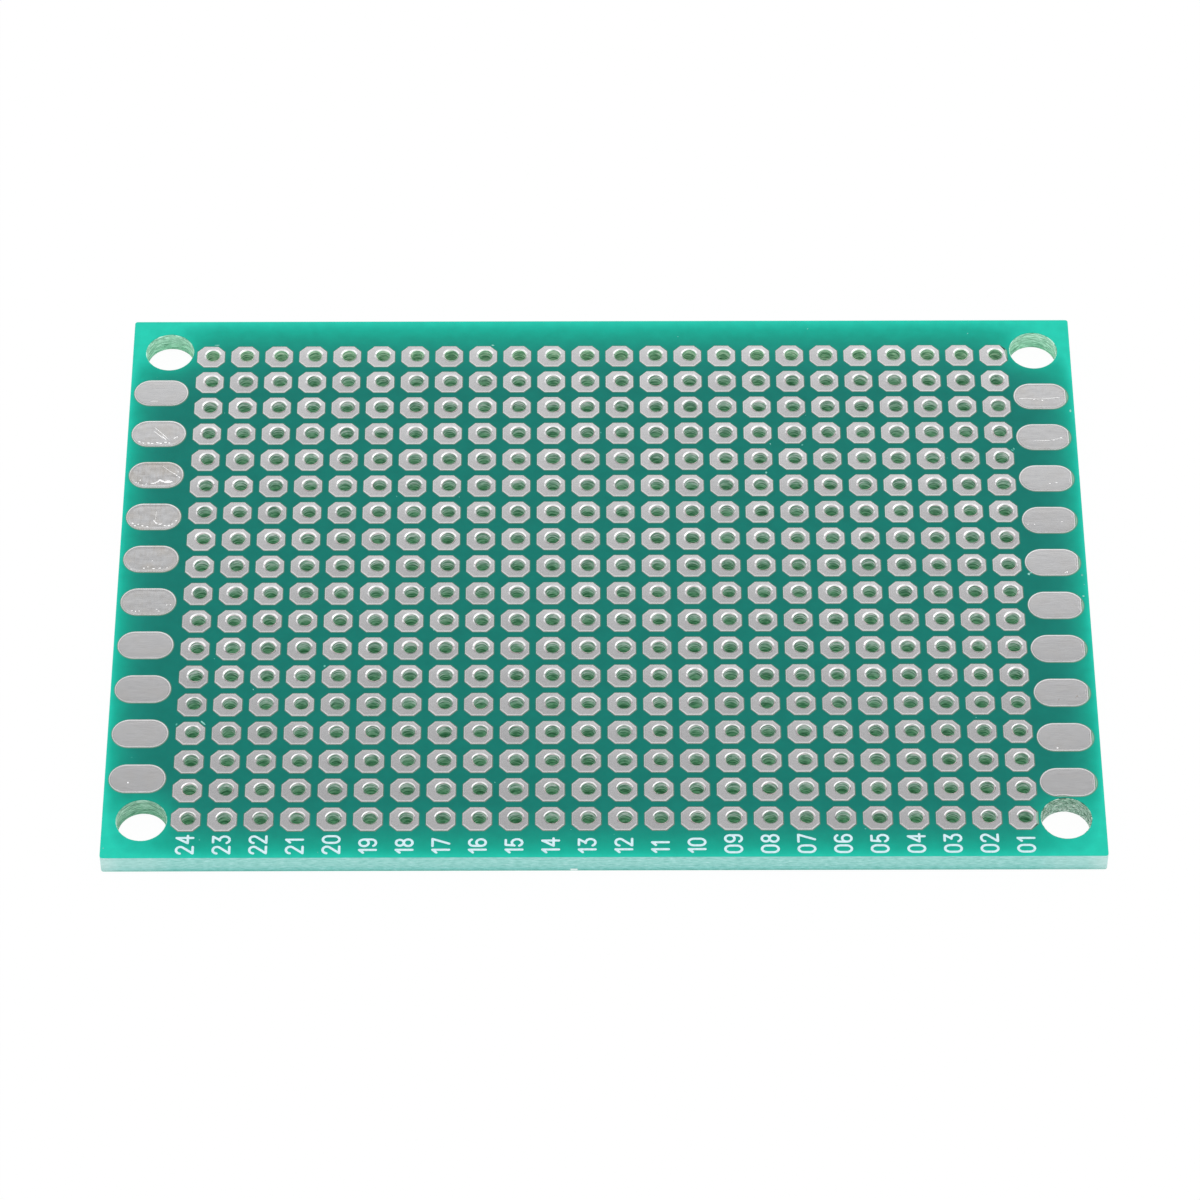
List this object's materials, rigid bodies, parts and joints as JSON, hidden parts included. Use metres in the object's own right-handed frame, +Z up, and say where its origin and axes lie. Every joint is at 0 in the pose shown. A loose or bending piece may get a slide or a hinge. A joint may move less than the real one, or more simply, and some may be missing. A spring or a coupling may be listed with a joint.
{
  "type": "prototype board",
  "caption": "Single-sided prototype board: a drilled glass-epoxy sheet with a grid of tinned octagonal pads, long edge pads and four mounting holes.",
  "frame": {"origin": "middle of the underside, on the surface that the board lies on", "axes": "+X along the board's length towards column 01, +Y towards the back side, +Z up through the pads"},
  "size_m": [0.07, 0.05, 0.0016],
  "materials": {
    "laminate": "sawn glass-epoxy, with the glass layers showing on its edges",
    "solder_mask": "satin green solder mask",
    "tin": "satin tinned copper"
  },
  "bodies": {
    "root": {"laminate": "laminate", "top_mask": "solder_mask", "underside_mask": "solder_mask", "pad_column_01": "tin", "pad_column_02": "tin", "pad_column_03": "tin", "pad_column_04": "tin", "pad_column_05": "tin", "pad_column_06": "tin", "pad_column_07": "tin", "pad_column_08": "tin", "pad_column_09": "tin", "pad_column_10": "tin", "pad_column_11": "tin", "pad_column_12": "tin", "pad_column_13": "tin", "pad_column_14": "tin", "pad_column_15": "tin", "pad_column_16": "tin", "pad_column_17": "tin", "pad_column_18": "tin", "pad_column_19": "tin", "pad_column_20": "tin", "pad_column_21": "tin", "pad_column_22": "tin", "pad_column_23": "tin", "pad_column_24": "tin", "edge_pad_left_01": "tin", "edge_pad_left_02": "tin", "edge_pad_left_03": "tin", "edge_pad_left_04": "tin", "edge_pad_left_05": "tin", "edge_pad_left_06": "tin", "edge_pad_left_07": "tin", "edge_pad_left_08": "tin", "edge_pad_left_09": "tin", "edge_pad_left_10": "tin", "edge_pad_right_01": "tin", "edge_pad_right_02": "tin", "edge_pad_right_03": "tin", "edge_pad_right_04": "tin", "edge_pad_right_05": "tin", "edge_pad_right_06": "tin", "edge_pad_right_07": "tin", "edge_pad_right_08": "tin", "edge_pad_right_09": "tin", "edge_pad_right_10": "tin"}
  },
  "joints": []
}
